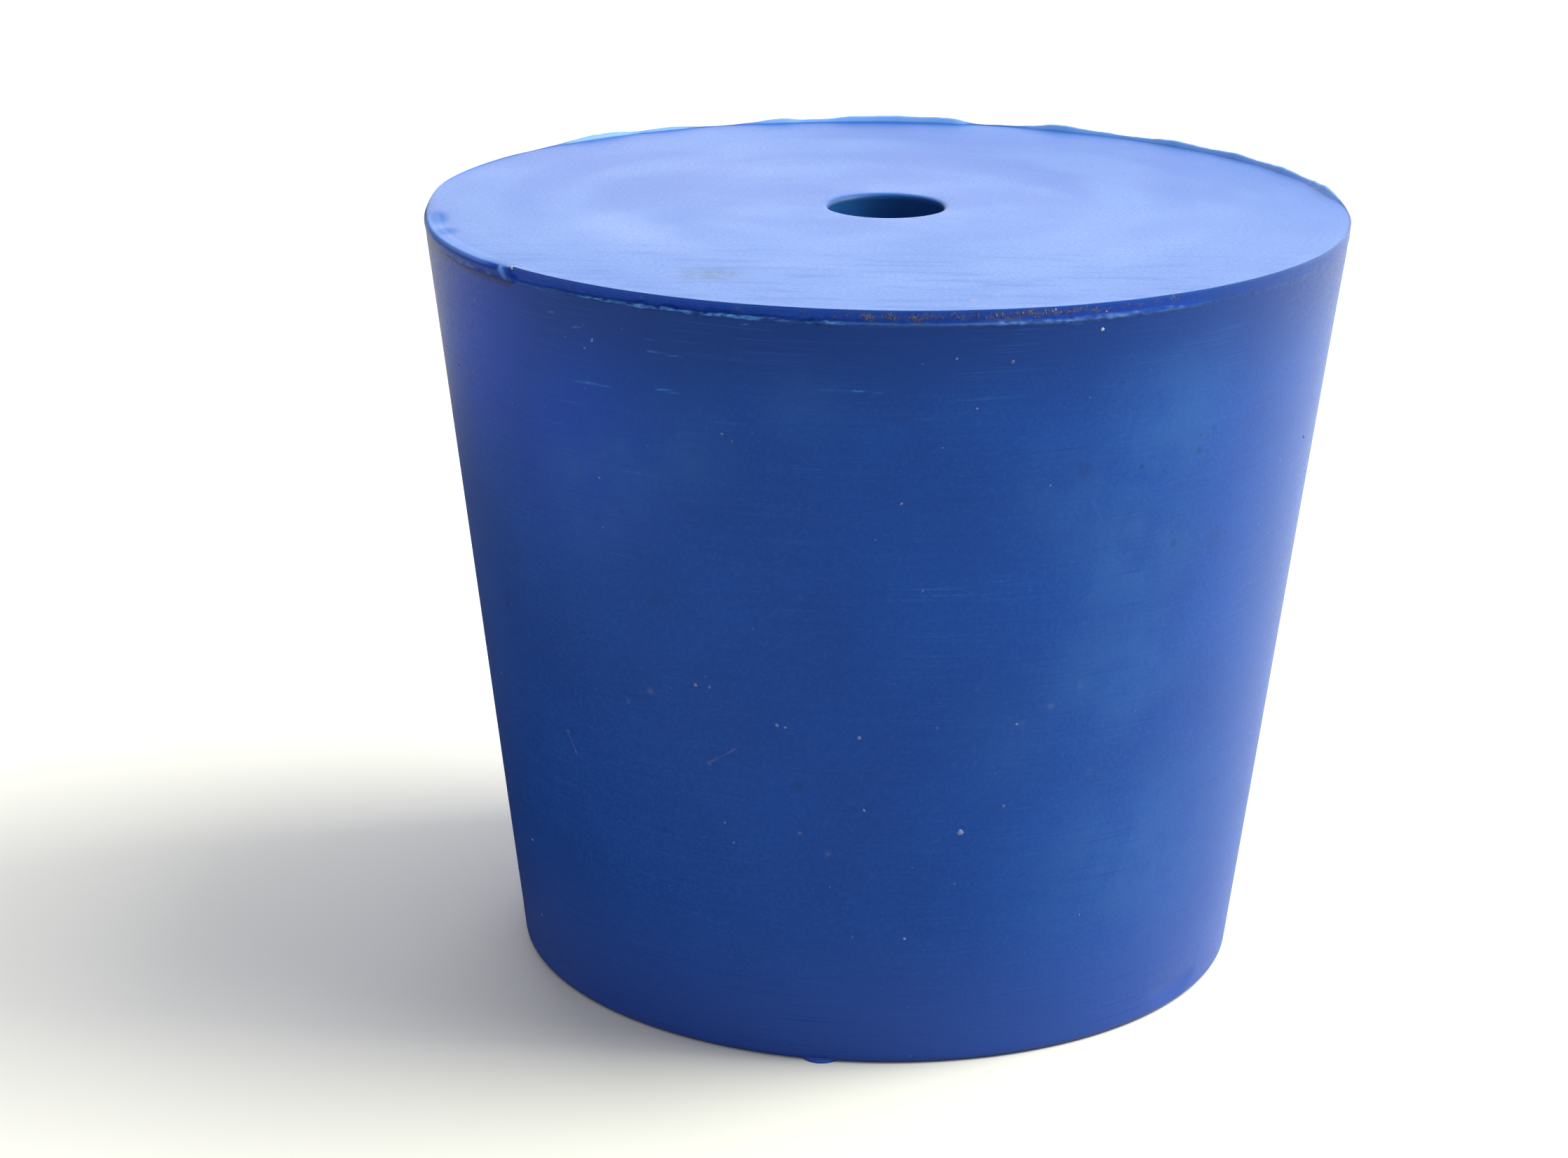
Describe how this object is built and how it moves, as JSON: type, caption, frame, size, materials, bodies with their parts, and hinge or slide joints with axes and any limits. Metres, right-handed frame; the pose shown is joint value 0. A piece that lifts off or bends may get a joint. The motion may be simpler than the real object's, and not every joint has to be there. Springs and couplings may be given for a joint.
{
  "type": "rubber stopper",
  "caption": "Solid tapered rubber stopper with a central hole through it, for closing the neck of a flask and holding a tube",
  "frame": {"origin": "middle of the small end, on the surface that the stopper stands on", "axes": "+Z along the hole from the small end to the large end; -Y is the side with the smooth cut band, +Y the side with the standing flash lip"},
  "size_m": [0.06, 0.0602, 0.0505],
  "materials": {
    "stopper_rubber": "matt blue moulded rubber with a dull sheen"
  },
  "bodies": {
    "root": {"stopper": "stopper_rubber"}
  },
  "joints": []
}
